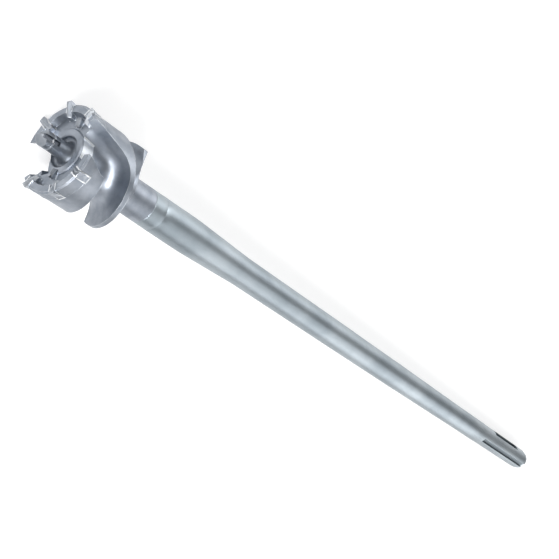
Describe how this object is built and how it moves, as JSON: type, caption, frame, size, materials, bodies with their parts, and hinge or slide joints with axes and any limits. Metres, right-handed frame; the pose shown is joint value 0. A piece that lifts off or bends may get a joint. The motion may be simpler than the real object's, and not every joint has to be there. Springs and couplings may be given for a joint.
{
  "type": "masonry drill bit",
  "caption": "Long masonry breakthrough drill bit with a fluted cylindrical head, carbide teeth, a pilot point and a grooved shank.",
  "frame": {"origin": "centre of the end face of the shank", "axes": "+X along the tool's axis from the shank's end towards the pilot's point, +Z square to it, up when the bit lies with the visible drive groove near the top, +Y by the right hand rule"},
  "size_m": [0.63, 0.0544, 0.0541],
  "materials": {
    "shaft_steel": "satin, turned and blasted",
    "head_steel": "satin, blasted with milled flutes",
    "carbide": "ground sintered carbide",
    "braze": "bright braze filler"
  },
  "bodies": {
    "root": {"shaft_shank": "shaft_steel", "head_body": "head_steel", "pilot_post": "head_steel", "pilot_tip": "carbide", "braze_pilot": "braze", "carbide_outer_1": "carbide", "carbide_outer_2": "carbide", "carbide_outer_3": "carbide", "carbide_outer_4": "carbide", "carbide_outer_5": "carbide", "carbide_outer_6": "carbide", "braze_outer_1": "braze", "braze_outer_2": "braze", "braze_outer_3": "braze", "braze_outer_4": "braze", "braze_outer_5": "braze", "braze_outer_6": "braze", "carbide_inner_1": "carbide", "carbide_inner_2": "carbide", "braze_inner_1": "braze", "braze_inner_2": "braze"}
  },
  "joints": []
}
